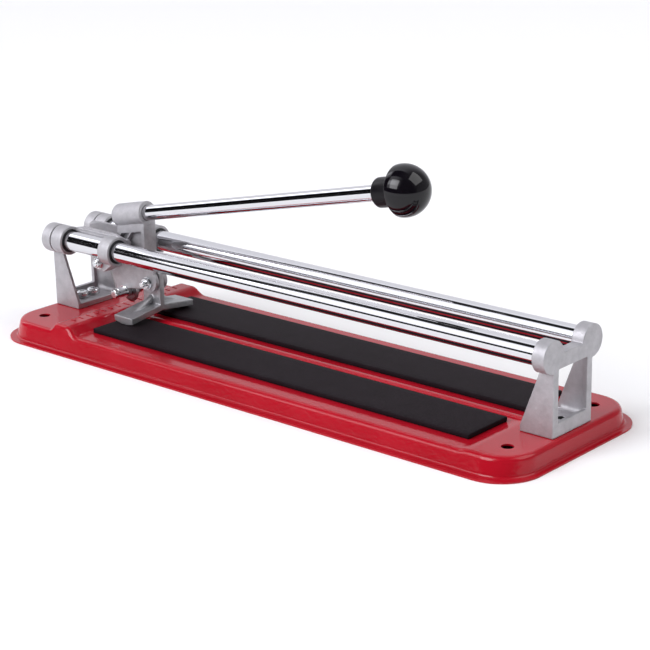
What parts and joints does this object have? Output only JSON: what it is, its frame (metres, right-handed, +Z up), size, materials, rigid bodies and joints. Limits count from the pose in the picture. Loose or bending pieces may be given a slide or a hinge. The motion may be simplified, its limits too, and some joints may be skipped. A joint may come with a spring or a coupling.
{
  "type": "rail tile cutter",
  "caption": "Manual tile cutter: pressed steel base with foam pads, two chromed rails, sliding carriage, hinged lever with scoring wheel and breaker foot.",
  "frame": {"origin": "centre of the base's bottom plane, under the middle of the base", "axes": "+X along the rails towards the free end that the handle points to, +Y across the base, +Z up"},
  "size_m": [0.514, 0.1644, 0.1779],
  "materials": {
    "red_enamel": "glossy enamel",
    "pad_foam": "matte closed-cell foam",
    "cast_aluminium": "blasted die casting",
    "chrome": "polished chrome plate",
    "plated_steel": "bright zinc plate",
    "knob_plastic": "polished black phenolic",
    "bush_plastic": "black nylon",
    "wheel_carbide": "ground carbide",
    "foot_casting": "satin grey casting"
  },
  "bodies": {
    "base": {"base_pan": "red_enamel", "near_pad": "pad_foam", "far_pad": "pad_foam", "left_bracket": "cast_aluminium", "right_bracket": "cast_aluminium", "near_rail": "chrome", "far_rail": "chrome", "left_bracket_screws": "plated_steel", "left_bracket_washers": "plated_steel", "left_bracket_nuts": "plated_steel", "right_bracket_screws": "plated_steel"},
    "carriage": {"carriage": "cast_aluminium", "near_rear_bush": "bush_plastic", "near_front_bush": "bush_plastic", "far_rear_bush": "bush_plastic", "far_front_bush": "bush_plastic", "pivot_bolt": "plated_steel", "pivot_nut": "plated_steel", "pivot_washers": "plated_steel", "pivot_spacers": "bush_plastic"},
    "lever": {"lever_casting": "cast_aluminium", "handle_rod": "chrome", "knob": "knob_plastic", "axle_bolt": "plated_steel", "axle_sleeve": "plated_steel", "axle_washers": "plated_steel", "axle_nut": "plated_steel", "wheel_spacers": "plated_steel", "foot_bolt": "plated_steel", "foot_washers": "plated_steel", "foot_nut": "plated_steel"},
    "wheel": {"scoring_wheel": "wheel_carbide"},
    "foot": {"breaker_foot": "foot_casting"}
  },
  "joints": [
    {"name": "carriage_slide", "type": "slide", "parent": "base", "child": "carriage", "axis": [1, 0, 0], "range_m": [0, 0.35]},
    {"name": "lever_hinge", "type": "hinge", "parent": "carriage", "child": "lever", "pos_m": [-0.1955, 0, 0.0585], "axis": [0, -1, 0], "range_deg": [0, 30]},
    {"name": "wheel_spin", "type": "hinge", "parent": "lever", "child": "wheel", "pos_m": [-0.182, 0, 0.034], "axis": [0, 1, 0], "continuous": true},
    {"name": "foot_swing", "type": "hinge", "parent": "lever", "child": "foot", "pos_m": [-0.154, 0, 0.046], "axis": [0, -1, 0], "range_deg": [-10, 12]}
  ]
}
